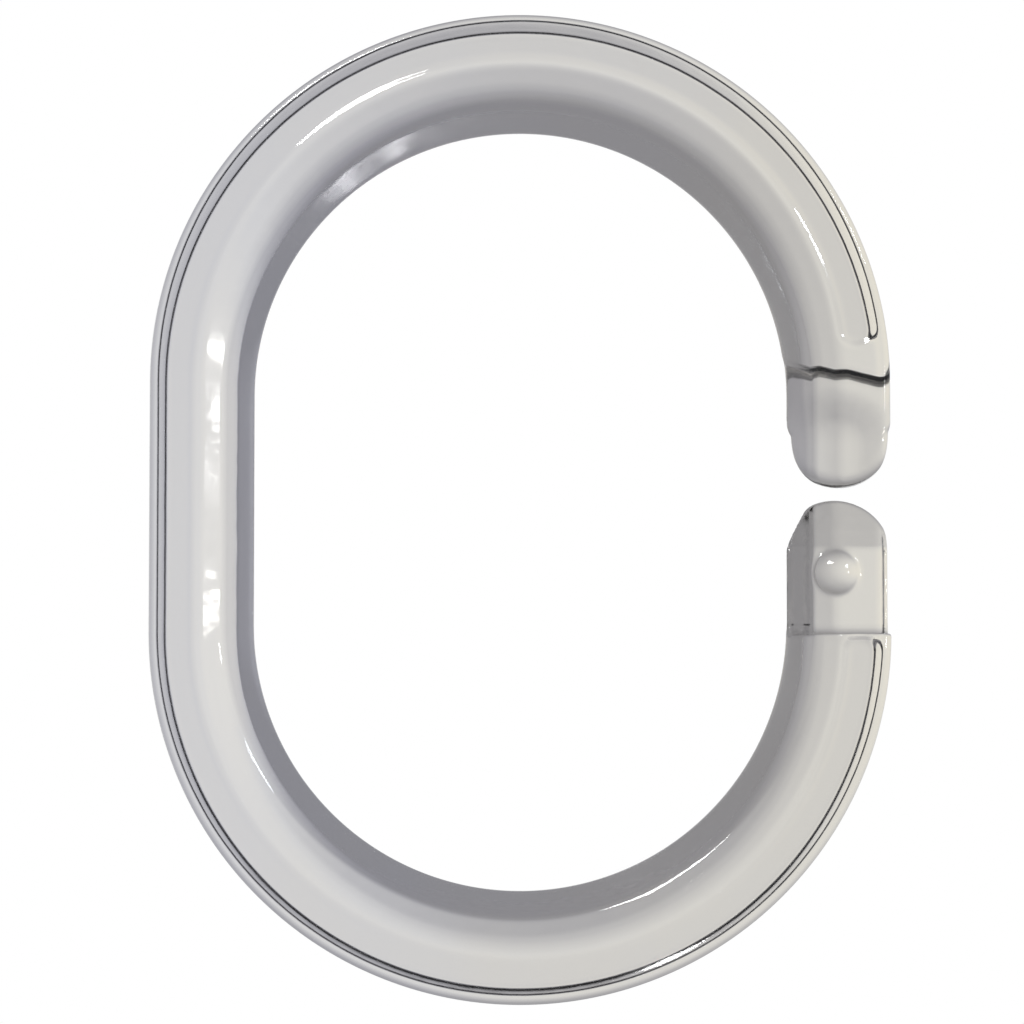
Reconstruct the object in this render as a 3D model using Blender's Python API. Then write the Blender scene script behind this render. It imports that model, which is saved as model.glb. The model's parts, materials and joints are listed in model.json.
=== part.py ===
"""Clear plastic curtain ring: an open oval C whose two ends lap over each other and snap together.

The ring stands in the XZ plane with its depth along Y, and its front faces -Y.  It is one springy
moulding.  It is modelled as an upper and a lower arm that turn about the middle of the straight back,
where the moulding bends.  Metres, +Z up, origin at the middle of the ring.
"""

import math

import bmesh
import bpy

MM = 0.001

# Driving dimensions.
OVERALL_HEIGHT = 60.0 * MM
OVERALL_WIDTH = 44.8 * MM
DEPTH = 7.0 * MM
SIDE_BAND = 6.2 * MM  # from the outer wall to the inner crest, along the sides
END_BAND = 6.85 * MM  # the same at the top and the bottom
INNER_BOW = 1.7 * MM  # how far the inner surface bulges towards the rod
CREST = 3.0 * MM  # flat part of the front and the back, from the outer wall
SLOPE_DROP = 0.5 * MM  # how far the front and the back slope away between the crest and the inner surface
OUTER_ROUND = 0.6 * MM
GROOVE_RIM = 0.85 * MM  # wall left outside the front groove
GROOVE_WIDTH = 1.9 * MM
GROOVE_DEPTH = 0.5 * MM
GROOVE_LAND = 1.1 * MM  # from the lap step to the end of the groove
UPPER_TIP_Z = 1.2 * MM
TIP_GAP = 0.4 * MM  # between the two tips' heights when the ring hangs open
TIP_CROWN = 2.2 * MM  # how far the middle of a tip stands out past its corners
CLEARANCE = 0.35 * MM
LAP_GAP = 0.3 * MM  # between the lap faces
LOWER_ROOM = 0.9 * MM  # how much longer the lower lap is than the tongue that closes into it needs
STUD_RADIUS = 1.4 * MM
STUD_HEIGHT = 0.9 * MM
HOLLOW_RADIUS = 4.5 * MM  # of the hollow that the stud runs in, across the upper tongue's back
STUD_FROM_TIP = 4.6 * MM
SOCKET_FROM_TIP = 2.6 * MM  # from the upper tip to the middle of the stud's socket
RAMP_LENGTH = 3.2 * MM  # lead-in slope on the lower tongue
TIP_EDGE = 1.0 * MM  # thickness left at the end of that slope

# Sizes that follow from them.
OUTER_RADIUS = OVERALL_WIDTH / 2
OUTER_RISE = OVERALL_HEIGHT / 2 - OUTER_RADIUS  # height of the outer arcs' centres
INNER_RADIUS = OUTER_RADIUS - SIDE_BAND
INNER_RISE = OVERALL_HEIGHT / 2 - END_BAND - INNER_RADIUS
HALF_BAND = SIDE_BAND / 2
BEND_RADIUS = HALF_BAND + LAP_GAP / 4  # a little fuller than the band, so that the round end cuts both walls
BAND_X = OUTER_RADIUS - HALF_BAND  # the middle of the band, along the sides
FRONT = -DEPTH / 2
BACK = DEPTH / 2
TIP_RADIUS = (HALF_BAND**2 + TIP_CROWN**2) / (2 * TIP_CROWN)
LOWER_TIP_Z = UPPER_TIP_Z - TIP_GAP
STUD_Z = LOWER_TIP_Z - STUD_FROM_TIP
REACH = 2 * BAND_X  # from the bending line to the tips
CLOSING_TRAVEL = STUD_FROM_TIP + TIP_GAP + SOCKET_FROM_TIP
CLOSING_ANGLE = 2 * math.asin(CLOSING_TRAVEL / (2 * REACH))  # how far the lower arm turns to snap shut

ARC_STEPS = 36  # along each half turn of the ring
STRAIGHT_STEPS = 3
ROUND_STEPS = 4
BOW_STEPS = 10
TIP_STEPS = 16
OVERSHOOT = 2.0 * MM  # how far a cutter runs past what it cuts
STUD_ROOT = 0.5 * MM  # how far the stud's shape reaches into the tongue that it is joined to


def turned(x, z, angle):
    """The point (x, z) after the lower arm turns upwards by angle about the bending line."""
    dx = x + BAND_X
    return (
        dx * math.cos(angle) - z * math.sin(angle) - BAND_X,
        dx * math.sin(angle) + z * math.cos(angle),
    )


def arc(cx, cz, radius, start, end, steps):
    """Points of a circular arc in the XZ plane, angles in radians from +X towards +Z."""
    angles = [start + (end - start) * i / steps for i in range(steps + 1)]
    return [(cx + radius * math.cos(a), cz + radius * math.sin(a)) for a in angles]


def crowned_tip(x, z, side):
    """Points across a tip whose middle is at (x, z), from -X to +X; side is +1 when it points up."""
    centre = z - side * TIP_RADIUS
    half = math.asin(min(1.0, (HALF_BAND + OVERSHOOT / 10) / TIP_RADIUS))
    angles = [half * (2 * i / TIP_STEPS - 1) for i in range(TIP_STEPS + 1)]
    return [(x + TIP_RADIUS * math.sin(a), centre + side * TIP_RADIUS * math.cos(a)) for a in angles]


# The lap steps clear the other tongue's tip when the ring is shut.
UPPER_STEP_Z = turned(BAND_X, LOWER_TIP_Z - TIP_RADIUS, CLOSING_ANGLE)[1] + TIP_RADIUS + CLEARANCE
LOWER_STEP_Z = turned(BAND_X, UPPER_TIP_Z + TIP_RADIUS, -CLOSING_ANGLE)[1] - TIP_RADIUS - CLEARANCE - LOWER_ROOM


def stations(back_rise, tip_rise, side):
    """Pairs of outer and inner outline points from the back to the tip, over the top (side +1) or bottom.

    The rises say how far towards that side the band starts at the back and ends at the tip.
    """
    pairs = []
    for i in range(STRAIGHT_STEPS):
        h = 1 + (back_rise / OUTER_RISE - 1) * (1 - i / STRAIGHT_STEPS)
        pairs.append(((-OUTER_RADIUS, side * h * OUTER_RISE), (-INNER_RADIUS, side * h * INNER_RISE)))
    for i in range(ARC_STEPS + 1):
        a = math.pi * (1 - i / ARC_STEPS)
        outer = (OUTER_RADIUS * math.cos(a), side * (OUTER_RISE + OUTER_RADIUS * math.sin(a)))
        inner = (INNER_RADIUS * math.cos(a), side * (INNER_RISE + INNER_RADIUS * math.sin(a)))
        pairs.append((outer, inner))
    for i in range(1, STRAIGHT_STEPS + 1):
        h = 1 + (tip_rise / OUTER_RISE - 1) * i / STRAIGHT_STEPS
        pairs.append(((OUTER_RADIUS, side * h * OUTER_RISE), (INNER_RADIUS, side * h * INNER_RISE)))
    return pairs


def across(pair, inward):
    """The point that lies a distance inward from the outer outline."""
    (ox, oz), (ix, iz) = pair
    share = inward / math.hypot(ix - ox, iz - oz)
    return ox + (ix - ox) * share, oz + (iz - oz) * share


def between(first, second, share):
    """The pair of outline points that lies a share of the way from the first pair to the second."""
    return [(ax + (bx - ax) * share, az + (bz - az) * share) for (ax, az), (bx, bz) in zip(first, second)]


def section(band):
    """The band's cross-section as (distance from the outer wall, y), all the way round."""
    points = []
    for centre_y, start in ((FRONT + OUTER_ROUND, 1.0), (BACK - OUTER_ROUND, 0.5)):
        corner = [
            (
                OUTER_ROUND * (1 + math.cos(math.pi * (start + 0.5 * (1 - i / ROUND_STEPS)))),
                centre_y + OUTER_ROUND * math.sin(math.pi * (start + 0.5 * (1 - i / ROUND_STEPS))),
            )
            for i in range(ROUND_STEPS + 1)
        ]
        points += corner
    points.append((CREST, BACK))
    bow_half = DEPTH / 2 - SLOPE_DROP
    bow_radius = (bow_half**2 + INNER_BOW**2) / (2 * INNER_BOW)
    half = math.asin(bow_half / bow_radius)
    for i in range(BOW_STEPS + 1):
        a = half * (1 - 2 * i / BOW_STEPS)
        points.append((band - bow_radius * (1 - math.cos(a)), bow_radius * math.sin(a)))
    points.append((CREST, FRONT))
    return points


def mesh_object(name, vertices, faces):
    """An object made of these vertices and faces, with its faces turned outwards."""
    mesh = bpy.data.meshes.new(name)
    mesh.from_pydata(vertices, [], faces)
    bm = bmesh.new()
    bm.from_mesh(mesh)
    bmesh.ops.recalc_face_normals(bm, faces=bm.faces)
    bm.to_mesh(mesh)
    bm.free()
    thing = bpy.data.objects.new(name, mesh)
    bpy.context.scene.collection.objects.link(thing)
    return thing


def swept_band(name, pairs):
    """The plain band, without its groove, laps or tips."""
    vertices = []
    for pair in pairs:
        band = math.dist(*pair)
        for inward, y in section(band):
            x, z = across(pair, inward)
            vertices.append((x, y, z))
    count = len(vertices) // len(pairs)
    faces = [tuple(range(count)), tuple(range(len(vertices) - count, len(vertices)))]
    for ring in range(len(pairs) - 1):
        for i in range(count):
            a = ring * count + i
            b = ring * count + (i + 1) % count
            faces.append((a, b, b + count, a + count))
    return mesh_object(name, vertices, faces)


def prism(name, outline, y_from, y_to):
    """A cutter: an outline in the XZ plane, run along Y."""
    count = len(outline)
    vertices = [(x, y, z) for y in (y_from, y_to) for x, z in outline]
    sides = [(i, (i + 1) % count, (i + 1) % count + count, i + count) for i in range(count)]
    faces = [tuple(range(count)), tuple(range(count, 2 * count))] + sides
    cutter = mesh_object(name, vertices, faces)
    cutter.hide_render = True
    cutter.display_type = "WIRE"
    return cutter


def boolean(target, cutter, operation="DIFFERENCE"):
    modifier = target.modifiers.new(cutter.name, "BOOLEAN")
    modifier.object = cutter
    modifier.operation = operation
    modifier.solver = "EXACT"


def cut_tip(target, tip_z, side):
    """Trims the band to a crowned tip."""
    edge = crowned_tip(BAND_X, tip_z, side)
    far = tip_z + side * 4 * OVERSHOOT
    left, right = edge[0][0], edge[-1][0]
    outline = edge + [(right, far), (left, far)]
    boolean(target, prism(target.name + "_tip_cutter", outline, FRONT - OVERSHOOT, BACK + OVERSHOOT))


def cut_lap(target, step_z, side, y_from, y_to):
    """Takes the front or the back half away from the tip to the step."""
    left, right = INNER_RADIUS - OVERSHOOT, OUTER_RADIUS + OVERSHOOT
    far = step_z + side * 8 * OVERSHOOT
    outline = [(left, step_z), (right, step_z), (right, far), (left, far)]
    boolean(target, prism(target.name + "_lap_cutter", outline, y_from, y_to))


def cut_groove(target, pairs, end_z, side):
    """The front groove: a channel along the band that ends in a half circle before the lap step.

    Its stations lie between the band's own, so that their edges never fall on each other.
    """
    radius = GROOVE_WIDTH / 2
    stop = abs(end_z) + radius
    route = [between(p, q, 0.5) for p, q in zip(pairs, pairs[1:])]
    heights = [abs(across(p, GROOVE_RIM + radius)[1]) for p in route]
    last = max(i for i, p in enumerate(route) if p[0][0] < 0 or heights[i] > stop)
    share = (heights[last] - stop) / (heights[last] - heights[last + 1])
    start = [(x, z - side * OVERSHOOT) for x, z in pairs[0]]
    kept = [start] + route[: last + 1] + [between(route[last], route[last + 1], share)]
    outer = [across(p, GROOVE_RIM) for p in kept]
    inner = [across(p, GROOVE_RIM + GROOVE_WIDTH) for p in kept]
    centre = across(kept[-1], GROOVE_RIM + radius)
    middle = math.atan2(outer[-1][1] - centre[1], outer[-1][0] - centre[0])
    end = arc(*centre, radius, middle, middle - side * math.pi, 2 * ROUND_STEPS)[1:-1]
    outline = outer + end + inner[::-1]
    boolean(target, prism(target.name + "_groove_cutter", outline, FRONT - OVERSHOOT, FRONT + GROOVE_DEPTH))


def revolved(name, profile, axis_point, upright):
    """A closed shape turned from (radius, height) points; the last one lies on the axis.

    The axis runs through axis_point, along Z when upright and along Y otherwise.
    """
    turns = 2 * TIP_STEPS  # sides of each circle
    cx, cy, cz = axis_point
    vertices = []
    for radius, height in profile[:-1]:
        for t in range(turns):
            p, q = radius * math.cos(math.tau * t / turns), radius * math.sin(math.tau * t / turns)
            vertices.append((cx + p, cy + q, cz + height) if upright else (cx + p, cy + height, cz + q))
    height = profile[-1][1]
    vertices.append((cx, cy, cz + height) if upright else (cx, cy + height, cz))
    faces = [tuple(range(turns))]
    for ring in range(len(profile) - 2):
        for t in range(turns):
            a, b = ring * turns + t, ring * turns + (t + 1) % turns
            faces.append((a, b, b + turns, a + turns))
    last = (len(profile) - 2) * turns
    faces += [(last + t, last + (t + 1) % turns, len(vertices) - 1) for t in range(turns)]
    shape = mesh_object(name, vertices, faces)
    shape.hide_render = True
    shape.display_type = "WIRE"
    return shape


def add_stud(target):
    """The round stud on the front of the lower tongue, a dome sunk into the lap face."""
    dome_radius = (STUD_RADIUS**2 + STUD_HEIGHT**2) / (2 * STUD_HEIGHT)
    half = math.asin(STUD_RADIUS / dome_radius)
    profile = [(STUD_RADIUS, STUD_ROOT)]
    for i in range(ROUND_STEPS + 1):
        a = half * (1 - i / ROUND_STEPS)
        profile.append((dome_radius * math.sin(a), -dome_radius * (math.cos(a) - math.cos(half))))
    stud = revolved(target.name + "_stud_shape", profile, (BAND_X, LAP_GAP / 2, STUD_Z), False)
    boolean(target, stud, "UNION")


def cut_stud_hollow(target):
    """The hollow in the back of the upper tongue that the stud runs up; its round end is the stud's socket."""
    socket = turned(BAND_X, STUD_Z, CLOSING_ANGLE)
    floor = LAP_GAP / 2 - STUD_HEIGHT - CLEARANCE
    profile = [(HOLLOW_RADIUS, UPPER_TIP_Z - socket[1] - OVERSHOOT)]
    for i in range(TIP_STEPS + 1):
        a = math.pi / 2 * i / TIP_STEPS
        profile.append((HOLLOW_RADIUS * math.cos(a), HOLLOW_RADIUS * math.sin(a)))
    axis_point = (socket[0], floor + HOLLOW_RADIUS, socket[1])
    boolean(target, revolved(target.name + "_hollow_cutter", profile, axis_point, True))


def cut_ramp(target):
    """The slope on the front of the lower tongue's tip that leads the upper tongue over it."""
    lap_y = LAP_GAP / 2
    slope = (BACK - TIP_EDGE - lap_y) / RAMP_LENGTH
    start = (lap_y - OVERSHOOT, LOWER_TIP_Z - RAMP_LENGTH - OVERSHOOT / slope)
    end = (BACK - TIP_EDGE + slope * OVERSHOOT, LOWER_TIP_Z + OVERSHOOT)
    corner = (lap_y - OVERSHOOT, LOWER_TIP_Z + OVERSHOOT)
    left, right = INNER_RADIUS - OVERSHOOT, OUTER_RADIUS + OVERSHOOT
    vertices = [(x, y, z) for x in (left, right) for y, z in (start, end, corner)]
    faces = [(0, 1, 2), (3, 4, 5), (0, 1, 4, 3), (1, 2, 5, 4), (2, 0, 3, 5)]
    cutter = mesh_object(target.name + "_ramp_cutter", vertices, faces)
    cutter.hide_render = True
    cutter.display_type = "WIRE"
    boolean(target, cutter)


def cut_bend_seat(target):
    """The hollow in the upper arm that the lower arm's round end turns in."""
    outline = arc(-BAND_X, 0, BEND_RADIUS + LAP_GAP, 0, math.tau, 4 * TIP_STEPS)[:-1]
    boolean(target, prism(target.name + "_bend_cutter", outline, FRONT - OVERSHOOT, BACK + OVERSHOOT))


def cut_bend_end(target):
    """Rounds the lower arm's end about the bending line."""
    round_end = arc(-BAND_X, 0, BEND_RADIUS, math.pi, 0, 2 * TIP_STEPS)
    far = HALF_BAND + OVERSHOOT
    outline = [(-BAND_X - far, 0)] + round_end + [(-BAND_X + far, 0), (-BAND_X + far, far), (-BAND_X - far, far)]
    boolean(target, prism(target.name + "_bend_cutter", outline, FRONT - OVERSHOOT, BACK + OVERSHOOT))


def clear_plastic(name, colour):
    material = bpy.data.materials.new(name)
    material.use_nodes = True
    shader = material.node_tree.nodes["Principled BSDF"]
    shader.inputs["Base Color"].default_value = colour
    shader.inputs["Roughness"].default_value = 0.05
    shader.inputs["Metallic"].default_value = 0.0
    shader.inputs["IOR"].default_value = 1.5
    shader.inputs["Transmission Weight"].default_value = 0.9
    return material


def finish(target, material):
    target.data.materials.append(material)
    target.data.shade_smooth()
    target.data.set_sharp_from_angle(angle=math.radians(30))


def build_upper_arm():
    """From the bending line over the top to the front tongue."""
    pairs = stations(0, UPPER_TIP_Z - OVERSHOOT, 1)
    arm = swept_band("upper_arm", pairs)
    cut_groove(arm, pairs, UPPER_STEP_Z + GROOVE_LAND, 1)
    cut_tip(arm, UPPER_TIP_Z, -1)
    cut_lap(arm, UPPER_STEP_Z, -1, -LAP_GAP / 2, BACK + OVERSHOOT)
    cut_stud_hollow(arm)
    cut_bend_seat(arm)
    finish(arm, clear_plastic("upper_clear_plastic", (0.86, 0.86, 0.88, 1.0)))
    return arm


def build_lower_arm():
    """From the bending line round the bottom to the back tongue and its stud."""
    pairs = stations(-HALF_BAND, -LOWER_TIP_Z - OVERSHOOT, -1)
    arm = swept_band("lower_arm", pairs)
    cut_groove(arm, pairs, LOWER_STEP_Z + LOWER_ROOM - GROOVE_LAND, -1)
    cut_tip(arm, LOWER_TIP_Z, 1)
    cut_lap(arm, LOWER_STEP_Z, 1, FRONT - OVERSHOOT, LAP_GAP / 2)
    cut_ramp(arm)
    add_stud(arm)
    cut_bend_end(arm)
    finish(arm, clear_plastic("lower_clear_plastic", (0.84, 0.84, 0.87, 1.0)))
    return arm


def main():
    for thing in list(bpy.data.objects):
        bpy.data.objects.remove(thing, do_unlink=True)
    build_upper_arm()
    lower_arm = build_lower_arm()
    # The lower arm's origin goes on the bending line, and its mesh shifts back by as much.
    for vertex in lower_arm.data.vertices:
        vertex.co.x += BAND_X
    lower_arm.location.x = -BAND_X


main()
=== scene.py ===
"""A clear plastic curtain ring hanging in front of a white studio backdrop.

The ring's surface is worked out as a distance field and then meshed.  The field is written in the ring's
own coordinates: s runs along the outer wall, from the middle of the straight back (0) over the top to
the upper tip (+) or round the bottom to the lower tip (-); u runs inward from the outer wall; v is the
depth, from the front (-) to the back (+).  Lengths in the field are in millimetres.
"""

import json
import math

import bmesh
import bpy
import numpy as np
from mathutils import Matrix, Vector


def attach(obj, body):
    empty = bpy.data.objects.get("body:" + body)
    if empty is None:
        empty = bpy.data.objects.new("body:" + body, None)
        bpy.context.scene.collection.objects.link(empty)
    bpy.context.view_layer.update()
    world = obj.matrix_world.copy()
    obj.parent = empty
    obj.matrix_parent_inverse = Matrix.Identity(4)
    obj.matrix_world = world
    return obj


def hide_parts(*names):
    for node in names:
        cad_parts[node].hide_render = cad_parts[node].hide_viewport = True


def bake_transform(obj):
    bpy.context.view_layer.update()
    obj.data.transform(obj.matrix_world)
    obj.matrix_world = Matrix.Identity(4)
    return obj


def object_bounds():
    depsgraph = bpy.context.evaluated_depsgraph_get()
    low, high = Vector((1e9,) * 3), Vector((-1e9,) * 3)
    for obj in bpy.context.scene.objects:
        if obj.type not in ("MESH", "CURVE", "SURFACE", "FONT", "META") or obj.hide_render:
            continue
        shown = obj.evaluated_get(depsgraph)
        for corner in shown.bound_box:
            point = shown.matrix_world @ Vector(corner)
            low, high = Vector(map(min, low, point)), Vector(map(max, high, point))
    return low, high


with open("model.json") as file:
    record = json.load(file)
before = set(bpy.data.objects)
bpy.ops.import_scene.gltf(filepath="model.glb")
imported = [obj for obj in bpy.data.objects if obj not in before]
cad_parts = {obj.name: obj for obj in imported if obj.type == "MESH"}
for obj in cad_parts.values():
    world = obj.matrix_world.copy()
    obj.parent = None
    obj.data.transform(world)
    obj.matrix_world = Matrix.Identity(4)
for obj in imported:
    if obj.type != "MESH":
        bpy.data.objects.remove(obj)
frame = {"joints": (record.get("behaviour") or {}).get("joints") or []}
cad_low, cad_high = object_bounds()

MM = 0.001

# Sizes read from the frame: lengths in millimetres, the angle in radians.
WIDTH, DEPTH, HEIGHT = ((cad_high[i] - cad_low[i]) / MM for i in range(3))
HINGE_X = frame["joints"][0]["pos_m"][0] / MM
CLOSING_ANGLE = math.radians(-frame["joints"][0]["range_deg"][0])

# Sizes of the ring that the frame doesn't name.  They are the CAD source's, apart from the slope's drop,
# the groove's depth and flat bottom, and the slant of the upper step, which are given here.
END_BAND = 6.85  # the band at the top and the bottom
INNER_BOW = 1.7  # how far the inner surface bulges towards the rod
CREST = 3.0  # flat part of the front and the back, from the outer wall
SLOPE_DROP = 0.8  # how far the faces slope away between the crest and the inner surface
GROOVE_RIM = 0.85  # wall left outside the groove
GROOVE_WIDTH = 1.9
GROOVE_DEPTH = 0.25
GROOVE_FLAT = 0.5  # half of the groove's flat bottom
GROOVE_LAND = 1.1  # from the lap step to the end of the groove
LOWER_ROOM = 0.9  # how much longer the lower lap is than the tongue that closes into it needs
STEP_SLANT = 0.25  # the upper lap step falls this much for each millimetre outward
UPPER_TIP_Z = 1.2
TIP_GAP = 0.4  # between the tips' heights
TIP_CROWN = 2.2  # how far the middle of a tip stands out past its corners
CLEARANCE = 0.35
LAP_GAP = 0.3  # between the lap faces
STUD_RADIUS = 1.4
STUD_HEIGHT = 0.9
HOLLOW_RADIUS = 4.5  # of the hollow that the stud runs in
STUD_FROM_TIP = 4.6
RAMP_LENGTH = 3.2  # lead-in slope on the lower tongue
TIP_EDGE = 1.0  # thickness left at the end of that slope

# The plastic.  Its small marks are noise, with scales per metre.
PLASTIC_IOR = 1.5
# The tint wanders at random between the warm and the cool colour, and turns warm towards the tips as painted
# warm light.
WARM_TONE_AND_PAINTED_LIGHT = (0.92, 0.895, 0.83)
PLASTIC_COOL = (0.87, 0.87, 0.89)
PAINTED_SHADE_TINT = (0.68, 0.68, 0.72)  # painted shade, a darker tint for the groove and the inner surface
WARM_LIGHT_OUTWARD = 30.0  # painted warm light: share of warm tint for each metre towards the tips
CLOUD_SCALE = 90
WEAR_SCALE = 260
WEAR_RANGE = (0.35, 0.75)
ROUGHNESS_RANGE = (0.03, 0.12)
FLOW_SCALE = 420
FLOW_STRENGTH = 0.12
FLOW_DEPTH = 0.0002

# The studio round the ring, in metres.
TOWARDS_LIGHT = (-0.45, 0.85, 0.12)
STEEP_DARKER = 2.0  # how much darker it is straight up and down
ROOM_GREYS = (  # place on the way from dark to bright, colour
    (0.0, (0.34, 0.34, 0.36)),
    (0.3, (0.42, 0.42, 0.45)),
    (0.62, (0.58, 0.58, 0.6)),
    (0.82, (0.76, 0.76, 0.76)),
    (1.0, (0.92, 0.9, 0.84)),
)
LIGHT_BOUNCES = 24  # light that runs round inside the plastic gets out again
FLOOR_Z = -0.12
FLOOR_REACH = 3.0
FLOOR_GRAIN = 30
FLOOR_GREYS = (0.86, 0.92)
LIGHTS = (  # name, place, width and height, watts, colour
    ("key", (-0.25, -0.35, 0.45), (0.25, 0.12), 3.0, (1, 1, 1)),
    ("window", (0.4, -0.3, 0.25), (0.1, 0.08), 0.5, (0.85, 0.92, 1)),
    ("upper_strip", (0.4, -0.3, 0.064), (0.03, 0.02), 0.05, (1, 1, 1)),
    ("lower_strip", (0.4, -0.3, 0.012), (0.1, 0.025), 0.2, (1, 0.98, 0.93)),
)

# Fillets, mostly left out of the CAD solids.
BOW_ROUND = 0.7  # where the two slants of the inner surface meet
OUTER_FILLET = 0.6
CREST_FILLET = 0.15
CREASE_FILLET = 0.12
GROOVE_FILLET = 0.4
TIP_FILLET = 0.8
STEP_FILLET = 0.9
SOCKET_FILLET = 0.6
EDGE_FILLET = 0.18
STUD_FILLET = 0.2

OUTER_RADIUS = WIDTH / 2
OUTER_RISE = HEIGHT / 2 - OUTER_RADIUS
HALF_BAND = OUTER_RADIUS + HINGE_X
SIDE_BAND = 2 * HALF_BAND
INNER_RADIUS = OUTER_RADIUS - SIDE_BAND
INNER_RISE = HEIGHT / 2 - END_BAND - INNER_RADIUS
BAND_X = -HINGE_X
TOTAL = 2 * OUTER_RISE + math.pi * OUTER_RADIUS  # along the outer wall, from the back's middle to the tips
TIP_RADIUS = (HALF_BAND**2 + TIP_CROWN**2) / (2 * TIP_CROWN)
LOWER_TIP_Z = UPPER_TIP_Z - TIP_GAP
STUD_Z = LOWER_TIP_Z - STUD_FROM_TIP
BOW_HALF = DEPTH / 2 - SLOPE_DROP
BOW_SLANT = INNER_BOW / (math.hypot(BOW_HALF, BOW_ROUND) - BOW_ROUND)
STUD_SPHERE = (STUD_RADIUS**2 + STUD_HEIGHT**2) / (2 * STUD_HEIGHT)
STUD_CENTRE_V = LAP_GAP / 2 - STUD_HEIGHT + STUD_SPHERE

# The camera, in millimetres.
CAMERA_DISTANCE = 320.0  # from the ring's front
CAMERA_Z = -26.0
VIEW_WIDTH = 61.55  # of the picture, at the ring's front
CAMERA_SHIFT = (-0.0078, -0.0063)

# The mesh's spacing, in millimetres.
FINE_STEP = 0.14
LONG_STEP = 0.45
FINE_REACH = 13.0  # how far from each tip the spacing stays fine
MARGIN = 0.5
PAINTED_SHADE_FADE = 0.35  # over which the painted shade fades out

SEAM_Z = -6.6  # about where the flexing piece meets the lower one, on the straight back


# ---------------------------------------------------------------- the ring as a distance field


def turned(x, z, angle):
    """(x, z) after a turn upwards by angle about the bending line."""
    dx = x - HINGE_X
    return (
        dx * math.cos(angle) - z * math.sin(angle) + HINGE_X,
        dx * math.sin(angle) + z * math.cos(angle),
    )


# The lap steps clear the other tongue's tip when the ring is shut.
UPPER_STEP_Z = turned(BAND_X, LOWER_TIP_Z - TIP_RADIUS, CLOSING_ANGLE)[1] + TIP_RADIUS + CLEARANCE
LOWER_SHUT_Z = turned(BAND_X, UPPER_TIP_Z + TIP_RADIUS, -CLOSING_ANGLE)[1] - TIP_RADIUS - CLEARANCE
LOWER_STEP_Z = LOWER_SHUT_Z - LOWER_ROOM
SOCKET = turned(BAND_X, STUD_Z, CLOSING_ANGLE)


def station_of(z):
    """How far along the outer wall the height z on the tips' side is, from the back's middle."""
    if abs(z) <= OUTER_RISE:
        return TOTAL - abs(z)
    turn = math.asin((abs(z) - OUTER_RISE) / (OUTER_RADIUS - GROOVE_RIM - GROOVE_WIDTH / 2))
    return TOTAL - OUTER_RISE - turn * OUTER_RADIUS


def outline(s, radius, rise):
    """x and z of the outline with this radius and straight rise, at station s."""
    turn = TOTAL - 2 * rise
    along = np.abs(s)
    angle = math.pi * (1 - np.clip((along - rise) / turn, 0, 1))
    straight = np.minimum(along, rise) - np.maximum(along - rise - turn, 0)
    return radius * np.cos(angle), np.sign(s) * (straight + radius * np.sin(angle))


def placed(s, u):
    """x and z of the point at station s, u inward from the outer wall, and the band's width there."""
    ox, oz = outline(s, OUTER_RADIUS, OUTER_RISE)
    ix, iz = outline(s, INNER_RADIUS, INNER_RISE)
    width = np.hypot(ix - ox, iz - oz)
    return ox + (ix - ox) * u / width, oz + (iz - oz) * u / width, width


def both(a, b, fillet):
    """The distance field of what is in both a and b, with a fillet along their edge."""
    corner = np.hypot(np.maximum(a + fillet, 0), np.maximum(b + fillet, 0))
    return np.minimum(-fillet, np.maximum(a, b)) + corner


def either(a, b, fillet):
    return -both(-a, -b, fillet)


def without(a, b, fillet):
    return both(a, -b, fillet)


def plain_band(u, v, width):
    """The cross-section: a flat outer wall, faces that slope away past the crest, an inside of two slants."""
    behind_face = np.abs(v) - DEPTH / 2
    body = both(-u, behind_face, OUTER_FILLET)
    run = width - INNER_BOW - CREST
    slope = ((u - CREST) * SLOPE_DROP + behind_face * run) / np.hypot(run, SLOPE_DROP)
    bow = (u - width + BOW_SLANT * (np.hypot(v, BOW_ROUND) - BOW_ROUND)) / math.hypot(1, BOW_SLANT)
    return both(both(body, slope, CREST_FILLET), bow, CREASE_FILLET)


def groove(s, u, v):
    """The front groove, a flat trough with rounded sides and a round end before each lap."""
    half = GROOVE_WIDTH / 2
    top = station_of(UPPER_STEP_Z + GROOVE_LAND + half)
    bottom = -station_of(LOWER_SHUT_Z - GROOVE_LAND - half)
    past_end = np.maximum(np.maximum(s - top, bottom - s), 0)
    side = half - GROOVE_FLAT
    radius = (side**2 + GROOVE_DEPTH**2) / (2 * GROOVE_DEPTH)
    above = v + DEPTH / 2 - GROOVE_DEPTH + radius
    off_flat = np.maximum(np.hypot(past_end, u - GROOVE_RIM - half) - GROOVE_FLAT, 0)
    return np.hypot(off_flat, above) - radius


def tip(x, z, tip_z, side):
    """What lies behind a crowned tip that points up (side +1) or down (-1)."""
    beyond = side * (z - tip_z) + TIP_RADIUS
    return np.hypot(x - BAND_X, np.maximum(beyond, 0)) - TIP_RADIUS + np.minimum(beyond, 0)


def stud_hollow(x, v, z):
    """The hollow in the back of the upper tongue; it has a round end, where the stud settles."""
    above = np.maximum(z - SOCKET[1], 0)
    centre_v = LAP_GAP / 2 - STUD_HEIGHT - CLEARANCE + HOLLOW_RADIUS
    return np.sqrt((x - SOCKET[0]) ** 2 + above**2 + (v - centre_v) ** 2) - HOLLOW_RADIUS


def upper_end(body, x, v, z):
    body = both(body, tip(x, z, UPPER_TIP_Z, -1), TIP_FILLET)
    slant = STEP_SLANT * (x - BAND_X)
    lap = both(z - UPPER_STEP_Z + slant, -LAP_GAP / 2 - v, STEP_FILLET)
    body = without(body, lap, EDGE_FILLET)
    return without(body, stud_hollow(x, v, z), SOCKET_FILLET)


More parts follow.
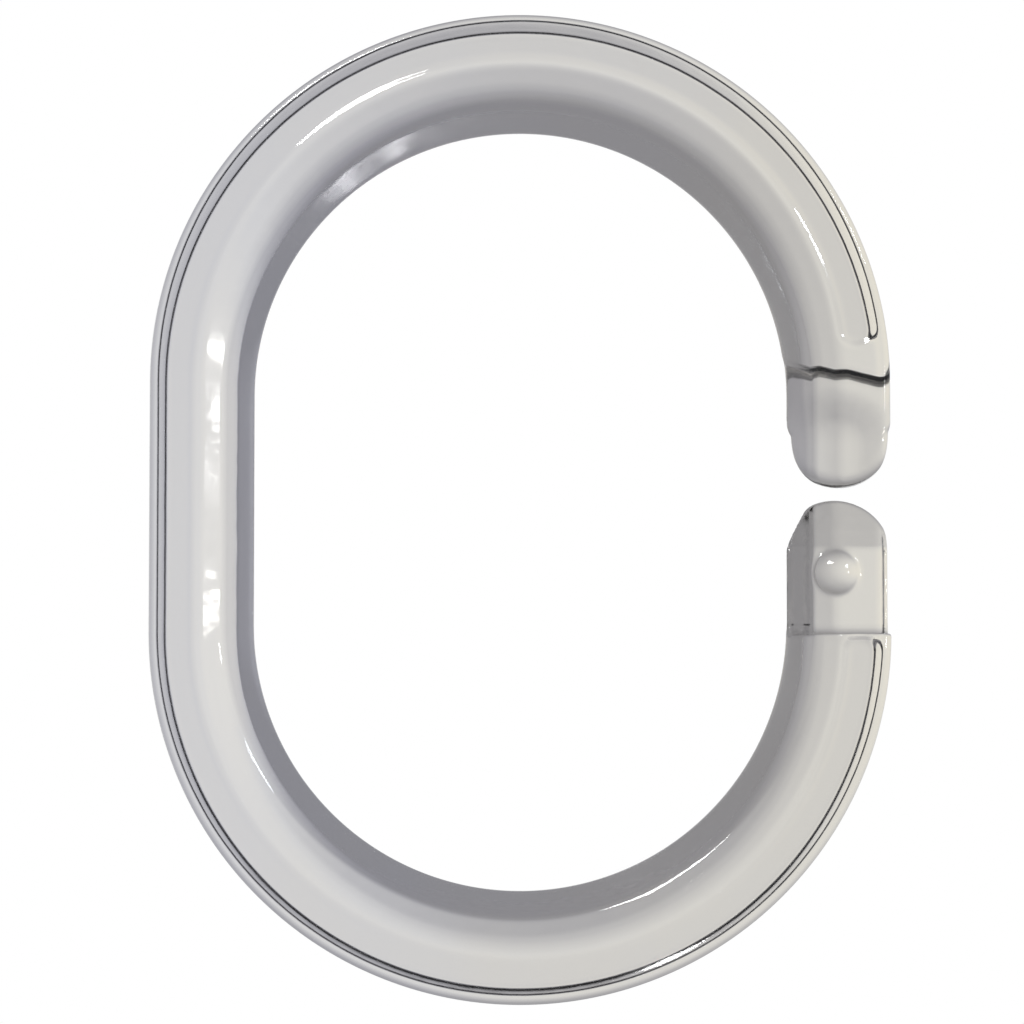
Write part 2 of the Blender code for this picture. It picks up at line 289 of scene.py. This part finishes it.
def lower_end(body, x, v, z):
    body = both(body, tip(x, z, LOWER_TIP_Z, 1), EDGE_FILLET)
    lap_v = LAP_GAP / 2
    lap = both(LOWER_STEP_Z - z, v - lap_v, STEP_FILLET)
    body = without(body, lap, EDGE_FILLET)
    rise = DEPTH / 2 - TIP_EDGE - lap_v
    slope = math.hypot(rise, RAMP_LENGTH)
    ramp = ((z - LOWER_TIP_Z + RAMP_LENGTH) * rise - (v - lap_v) * RAMP_LENGTH) / slope
    body = both(body, ramp, EDGE_FILLET)
    dome = np.sqrt((x - BAND_X) ** 2 + (z - STUD_Z) ** 2 + (v - STUD_CENTRE_V) ** 2) - STUD_SPHERE
    return either(body, dome, STUD_FILLET)


def ring_field(s, u, v):
    """Negative inside the plastic, positive outside, in millimetres."""
    x, z, width = placed(s, u)
    body = without(plain_band(u, v, width), groove(s, u, v), GROOVE_FILLET)
    near_tips = x > 0
    upper = near_tips & (s > 0)
    lower = near_tips & (s < 0)
    body = np.broadcast_to(body, np.broadcast_shapes(s.shape, u.shape, v.shape)).copy()
    s, u, v, x, z = (np.broadcast_to(a, body.shape) for a in (s, u, v, x, z))
    for half, shaped in ((upper, upper_end), (lower, lower_end)):
        half = np.broadcast_to(half, body.shape)
        body[half] = shaped(body[half], x[half], v[half], z[half])
    return body


# ---------------------------------------------------------------- meshing the field


def ring_stations():
    """Station values, close together near the tips and further apart elsewhere."""
    top = station_of(UPPER_TIP_Z) + MARGIN
    bottom = station_of(LOWER_TIP_Z) + 2 * abs(LOWER_TIP_Z) + MARGIN
    fine_top = np.arange(top - FINE_REACH, top, FINE_STEP)
    fine_bottom = np.arange(-bottom, -bottom + FINE_REACH, FINE_STEP)
    between = np.linspace(fine_bottom[-1], fine_top[0], round((fine_top[0] - fine_bottom[-1]) / LONG_STEP))
    return np.concatenate([fine_bottom[:-1], between, fine_top[1:]])


def crossings(field, axis):
    """Where the field changes sign between neighbours along an axis."""
    a = np.moveaxis(field, axis, 0)
    return np.moveaxis((a[:-1] < 0) != (a[1:] < 0), 0, axis)


def cell_points(field, axes):
    """One point for each cell that the surface passes through: the mean of where it crosses the edges."""
    shape = tuple(n - 1 for n in field.shape)
    total = np.zeros((3,) + shape)
    count = np.zeros(shape)
    for axis in range(3):
        low = np.moveaxis(field, axis, 0)[:-1]
        high = np.moveaxis(field, axis, 0)[1:]
        hit = (low < 0) != (high < 0)
        share = np.where(hit, low / np.where(hit, low - high, 1), 0)
        others = [k for k in range(3) if k != axis]
        for i in (0, 1):
            for j in (0, 1):
                # The edge at corner (i, j) of each cell, moved back so that axis comes first.
                cut = (
                    slice(None),
                    slice(i, i + shape[others[0]]),
                    slice(j, j + shape[others[1]]),
                )
                at = np.moveaxis(hit[cut], 0, axis)
                part = np.moveaxis(share[cut], 0, axis)
                count += at
                total[axis] += np.where(at, part, 0)
                total[others[0]] += at * i
                total[others[1]] += at * j
    used = count > 0
    index = np.full(shape, -1)
    index[used] = np.arange(used.sum())
    corner = np.nonzero(used)
    points = []
    for axis in range(3):
        share = total[axis][used] / count[used]
        low = axes[axis][corner[axis]]
        points.append(low + share * (axes[axis][corner[axis] + 1] - low))
    return np.stack(points, axis=1), index


def cell_quads(field, index):
    """Four-sided faces round every grid edge that the surface crosses, facing out."""
    quads = []
    for axis in range(3):
        b, c = [k for k in range(3) if k != axis]
        hit = crossings(field, axis)
        inside = np.moveaxis(np.moveaxis(field, axis, 0)[:-1] < 0, 0, axis)
        core = [slice(None)] * 3
        core[b] = slice(1, -1)
        core[c] = slice(1, -1)
        at = np.nonzero(hit[tuple(core)])
        first = inside[tuple(core)][at]

        def cell(db, dc):
            where = list(at)
            where[b] = where[b] + db
            where[c] = where[c] + dc
            return index[tuple(where)]

        quad = np.stack([cell(0, 0), cell(1, 0), cell(1, 1), cell(0, 1)], axis=1)
        flip = first if axis == 1 else ~first
        quad[flip] = quad[flip][:, ::-1]
        quads.append(quad)
    return np.concatenate(quads)


def settled(points, rounds=4):
    """The points moved onto the surface along the field's slope."""
    step = 1e-3
    limit = 0.5 * FINE_STEP
    for _ in range(rounds):
        value = ring_field(*points.T)
        slope = np.empty_like(points)
        for axis in range(3):
            ahead, behind = points.copy(), points.copy()
            ahead[:, axis] += step
            behind[:, axis] -= step
            slope[:, axis] = (ring_field(*ahead.T) - ring_field(*behind.T)) / (2 * step)
        move = value / np.maximum((slope**2).sum(axis=1), 0.05)
        points = points - np.clip(move, -limit, limit)[:, None] * slope
    return points


def ring_surface():
    """Points in s, u and v, and four-sided faces."""
    s = ring_stations()
    u = np.arange(-MARGIN, END_BAND + MARGIN, FINE_STEP)
    v = np.arange(-DEPTH / 2 - MARGIN, DEPTH / 2 + MARGIN, FINE_STEP)
    field = ring_field(s[:, None, None], u[None, :, None], v[None, None, :])
    points, index = cell_points(field, (s, u, v))
    return settled(points), cell_quads(field, index)


def in_space(points):
    """Metres in the row frame, from s, u and v."""
    x, z, _ = placed(points[:, 0], points[:, 1])
    return np.stack([x, points[:, 2], z], axis=1) * MM


def clear_of_painted_shade(points):
    """Where the shade is not painted: 0 in the groove and on the inner surface, which get painted shade, 1
    elsewhere.
    """
    s, u, v = points.T
    width = placed(s, u)[2]
    in_groove = np.clip(0.5 - groove(s, u, v) / PAINTED_SHADE_FADE, 0, 1)
    inside = np.clip(0.5 + (u - width + INNER_BOW) / PAINTED_SHADE_FADE, 0, 1)
    return (1 - in_groove) * (1 - inside)


def whole_ring():
    """The whole ring as one smooth closed bmesh, in the row frame."""
    points, faces = ring_surface()
    mesh = bpy.data.meshes.new("whole_ring")
    mesh.from_pydata(in_space(points).tolist(), [], faces.tolist())
    # The points carry where the painted shade of the groove and the inner surface goes.
    mesh.attributes.new("clear_of_painted_shade", "FLOAT", "POINT").data.foreach_set("value", clear_of_painted_shade(points))
    made = bmesh.new()
    made.from_mesh(mesh)
    for face in made.faces:
        face.smooth = True
    return made


def cut_piece(whole, name, keep_upper):
    """The part of the ring above or below the flat seam low on the straight back, closed with a cap."""
    made = whole.copy()
    stations = ring_stations()
    after = np.searchsorted(stations, SEAM_Z)
    seam = Vector((HINGE_X, 0, (stations[after - 1] + stations[after]) / 2)) * MM
    near = [f for f in made.faces if (f.calc_center_median() - seam).length < 2 * HALF_BAND * MM]
    parts = near + list({e for f in near for e in f.edges}) + list({v for f in near for v in f.verts})
    cut = bmesh.ops.bisect_plane(made, geom=parts, dist=1e-7, plane_co=seam, plane_no=(0, 0, 1))
    rim = [e for e in cut["geom_cut"] if isinstance(e, bmesh.types.BMEdge)]
    bmesh.ops.split_edges(made, edges=rim)
    made.verts.ensure_lookup_table()
    kept = connected(made, max(made.verts, key=lambda v: v.co.z if keep_upper else -v.co.z))
    bmesh.ops.delete(made, geom=[v for v in made.verts if v not in kept], context="VERTS")
    rim = [e for e in made.edges if e.is_boundary]
    for edge in rim:
        edge.smooth = False
    cap = bmesh.ops.contextual_create(made, geom=rim)["faces"]
    for face in cap:
        face.smooth = False
        face.material_index = 1
    bmesh.ops.recalc_face_normals(made, faces=made.faces)
    mesh = bpy.data.meshes.new(name)
    made.to_mesh(mesh)
    made.free()
    thing = bpy.data.objects.new(name, mesh)
    bpy.context.scene.collection.objects.link(thing)
    return thing


def connected(made, start):
    """All the vertices that can be reached from start."""
    seen = {start}
    waiting = [start]
    while waiting:
        for edge in waiting.pop().link_edges:
            for vertex in edge.verts:
                if vertex not in seen:
                    seen.add(vertex)
                    waiting.append(vertex)
    return seen


# ---------------------------------------------------------------- materials


def new_material(name):
    material = bpy.data.materials.new(name)
    material.use_nodes = True
    material.node_tree.nodes.clear()
    return material, material.node_tree.nodes, material.node_tree.links


def clear_plastic():
    """Slightly grey clear plastic with faint flow marks and a moulded surface that isn't perfectly even, with
    painted shade in the groove and on the inner surface and painted warm light towards the tips.
    """
    material, nodes, links = new_material("clear_plastic")
    output = nodes.new("ShaderNodeOutputMaterial")
    shader = nodes.new("ShaderNodeBsdfPrincipled")
    place = nodes.new("ShaderNodeTexCoord")
    shader.inputs["IOR"].default_value = PLASTIC_IOR
    shader.inputs["Transmission Weight"].default_value = 1.0

    cloud = nodes.new("ShaderNodeTexNoise")
    cloud.inputs["Scale"].default_value = CLOUD_SCALE
    cloud.inputs["Detail"].default_value = 3
    tint = nodes.new("ShaderNodeMix")
    tint.data_type = "RGBA"
    tint.inputs["A"].default_value = (*WARM_TONE_AND_PAINTED_LIGHT, 1)
    tint.inputs["B"].default_value = (*PLASTIC_COOL, 1)
    links.new(place.outputs["Object"], cloud.inputs["Vector"])
    # Painted warm light: the tint turns warm towards the tips, on top of the random cloudy tone.
    split = nodes.new("ShaderNodeSeparateXYZ")
    cloud_and_warm_light = nodes.new("ShaderNodeMath")
    cloud_and_warm_light.operation = "MULTIPLY_ADD"
    cloud_and_warm_light.inputs[1].default_value = -WARM_LIGHT_OUTWARD
    links.new(place.outputs["Object"], split.inputs["Vector"])
    links.new(split.outputs["X"], cloud_and_warm_light.inputs[0])
    links.new(cloud.outputs["Fac"], cloud_and_warm_light.inputs[2])
    links.new(cloud_and_warm_light.outputs["Value"], tint.inputs["Factor"])
    # Painted shade: the groove and the inner surface get the darker tint.
    painted_shade_attribute = nodes.new("ShaderNodeAttribute")
    painted_shade_attribute.attribute_name = "clear_of_painted_shade"
    painted_shade_mix = nodes.new("ShaderNodeMix")
    painted_shade_mix.data_type = "RGBA"
    painted_shade_mix.blend_type = "MULTIPLY"
    painted_shade_mix.inputs["B"].default_value = (*PAINTED_SHADE_TINT, 1)
    painted_shade_share = nodes.new("ShaderNodeMath")
    painted_shade_share.operation = "SUBTRACT"
    painted_shade_share.inputs[0].default_value = 1
    links.new(painted_shade_attribute.outputs["Fac"], painted_shade_share.inputs[1])
    links.new(painted_shade_share.outputs["Value"], painted_shade_mix.inputs["Factor"])
    links.new(tint.outputs["Result"], painted_shade_mix.inputs["A"])
    links.new(painted_shade_mix.outputs["Result"], shader.inputs["Base Color"])

    worn = nodes.new("ShaderNodeTexNoise")
    worn.inputs["Scale"].default_value = WEAR_SCALE
    worn.inputs["Detail"].default_value = 4
    rough = nodes.new("ShaderNodeMapRange")
    rough.inputs["From Min"].default_value = WEAR_RANGE[0]
    rough.inputs["From Max"].default_value = WEAR_RANGE[1]
    rough.inputs["To Min"].default_value = ROUGHNESS_RANGE[0]
    rough.inputs["To Max"].default_value = ROUGHNESS_RANGE[1]
    links.new(place.outputs["Object"], worn.inputs["Vector"])
    links.new(worn.outputs["Fac"], rough.inputs["Value"])
    links.new(rough.outputs["Result"], shader.inputs["Roughness"])

    flow = nodes.new("ShaderNodeTexNoise")
    flow.inputs["Scale"].default_value = FLOW_SCALE
    flow.inputs["Detail"].default_value = 2
    bump = nodes.new("ShaderNodeBump")
    bump.inputs["Strength"].default_value = FLOW_STRENGTH
    bump.inputs["Distance"].default_value = FLOW_DEPTH
    links.new(place.outputs["Object"], flow.inputs["Vector"])
    links.new(flow.outputs["Fac"], bump.inputs["Height"])
    links.new(bump.outputs["Normal"], shader.inputs["Normal"])
    links.new(shader.outputs["BSDF"], output.inputs["Surface"])
    return material


def open_face():
    """The cut faces let light straight through, so the plastic goes on unbroken over the seam."""
    material, nodes, links = new_material("open_face")
    output = nodes.new("ShaderNodeOutputMaterial")
    shader = nodes.new("ShaderNodeBsdfTransparent")
    links.new(shader.outputs["BSDF"], output.inputs["Surface"])
    return material


def pale_matt():
    material, nodes, links = new_material("pale_matt")
    output = nodes.new("ShaderNodeOutputMaterial")
    shader = nodes.new("ShaderNodeBsdfDiffuse")
    grain = nodes.new("ShaderNodeTexNoise")
    grain.inputs["Scale"].default_value = FLOOR_GRAIN
    shade = nodes.new("ShaderNodeMapRange")
    shade.inputs["To Min"].default_value = FLOOR_GREYS[0]
    shade.inputs["To Max"].default_value = FLOOR_GREYS[1]
    links.new(grain.outputs["Fac"], shade.inputs["Value"])
    links.new(shade.outputs["Result"], shader.inputs["Color"])
    links.new(shader.outputs["BSDF"], output.inputs["Surface"])
    return material


# ---------------------------------------------------------------- the studio


def floor():
    """A wide pale floor well below the ring, which neither mirrors in the plastic nor shows through it."""
    mesh = bpy.data.meshes.new("floor")
    corners = [(x * FLOOR_REACH, y * FLOOR_REACH, FLOOR_Z) for x, y in ((-1, -1), (1, -1), (1, 1), (-1, 1))]
    mesh.from_pydata(corners, [], [(0, 1, 2, 3)])
    mesh.materials.append(pale_matt())
    made = bpy.data.objects.new("floor", mesh)
    made.visible_transmission = False
    made.visible_glossy = False
    bpy.context.scene.collection.objects.link(made)


def area_light(name, location, size, power, colour):
    """A soft light aimed at the ring.  It makes highlights, but doesn't show through the plastic."""
    light = bpy.data.lights.new(name, "AREA")
    light.shape = "RECTANGLE"
    light.size, light.size_y = size
    light.energy = power
    light.color = colour
    made = bpy.data.objects.new(name, light)
    made.location = location
    made.visible_transmission = False
    aim = bpy.data.objects.new(name + "_aim", None)
    for thing in (made, aim):
        bpy.context.scene.collection.objects.link(thing)
    track = made.constraints.new("TRACK_TO")
    track.target = aim
    track.track_axis = "TRACK_NEGATIVE_Z"
    track.up_axis = "UP_Y"
    return made


def surroundings():
    """A grey studio in the plastic, brighter behind and to the left, and white to the eye and the floor."""
    world = bpy.data.worlds.new("studio")
    world.use_nodes = True
    nodes, links = world.node_tree.nodes, world.node_tree.links
    nodes.clear()
    output = nodes.new("ShaderNodeOutputWorld")
    seen = nodes.new("ShaderNodeBackground")
    seen.inputs["Color"].default_value = (1, 1, 1, 1)
    room = nodes.new("ShaderNodeBackground")
    place = nodes.new("ShaderNodeTexCoord")
    brighter = nodes.new("ShaderNodeVectorMath")
    brighter.operation = "DOT_PRODUCT"
    brighter.inputs[1].default_value = TOWARDS_LIGHT
    steep = nodes.new("ShaderNodeSeparateXYZ")
    square = nodes.new("ShaderNodeMath")
    square.operation = "MULTIPLY"
    level = nodes.new("ShaderNodeMath")
    level.operation = "MULTIPLY_ADD"
    level.inputs[1].default_value = -STEEP_DARKER
    ramp = nodes.new("ShaderNodeValToRGB")
    links.new(place.outputs["Generated"], brighter.inputs[0])
    links.new(place.outputs["Generated"], steep.inputs["Vector"])
    links.new(steep.outputs["Z"], square.inputs[0])
    links.new(steep.outputs["Z"], square.inputs[1])
    links.new(square.outputs["Value"], level.inputs[0])
    links.new(brighter.outputs["Value"], level.inputs[2])
    links.new(level.outputs["Value"], ramp.inputs["Fac"])
    links.new(ramp.outputs["Color"], room.inputs["Color"])
    stops = ramp.color_ramp.elements
    while len(stops) < len(ROOM_GREYS):
        stops.new(0.5)
    for stop, (position, colour) in zip(stops, ROOM_GREYS):
        stop.position = position
        stop.color = (*colour, 1)
    path = nodes.new("ShaderNodeLightPath")
    plain = nodes.new("ShaderNodeMath")
    plain.operation = "MAXIMUM"
    either_way = nodes.new("ShaderNodeMixShader")
    links.new(path.outputs["Is Camera Ray"], plain.inputs[0])
    links.new(path.outputs["Is Diffuse Ray"], plain.inputs[1])
    links.new(plain.outputs["Value"], either_way.inputs["Fac"])
    links.new(room.outputs["Background"], either_way.inputs[1])
    links.new(seen.outputs["Background"], either_way.inputs[2])
    links.new(either_way.outputs["Shader"], output.inputs["Surface"])
    bpy.context.scene.world = world


def studio():
    surroundings()
    floor()
    bpy.context.scene.view_settings.view_transform = "Standard"
    bpy.context.scene.cycles.max_bounces = LIGHT_BOUNCES
    bpy.context.scene.cycles.transmission_bounces = LIGHT_BOUNCES
    for light in LIGHTS:
        area_light(*light)


def camera():
    data = bpy.data.cameras.new("camera")
    data.sensor_width = 36
    data.lens = data.sensor_width * CAMERA_DISTANCE / VIEW_WIDTH
    data.shift_x, data.shift_y = CAMERA_SHIFT
    data.clip_start = 0.005
    made = bpy.data.objects.new("camera", data)
    made.location = (0, -(CAMERA_DISTANCE + DEPTH / 2) * MM, CAMERA_Z * MM)
    made.rotation_euler = (math.radians(90) - math.atan2(CAMERA_Z, CAMERA_DISTANCE), 0, 0)
    bpy.context.scene.collection.objects.link(made)
    bpy.context.scene.camera = made


def main():
    whole = whole_ring()
    upper = cut_piece(whole, "clear_ring_upper", True)
    lower = cut_piece(whole, "clear_ring_lower", False)
    whole.free()
    plastic, seam = clear_plastic(), open_face()
    for thing in (upper, lower):
        thing.data.materials.append(plastic)
        thing.data.materials.append(seam)
    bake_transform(upper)
    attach(lower, "lower")
    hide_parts("upper_arm")
    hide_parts("lower_arm")
    studio()
    camera()


main()
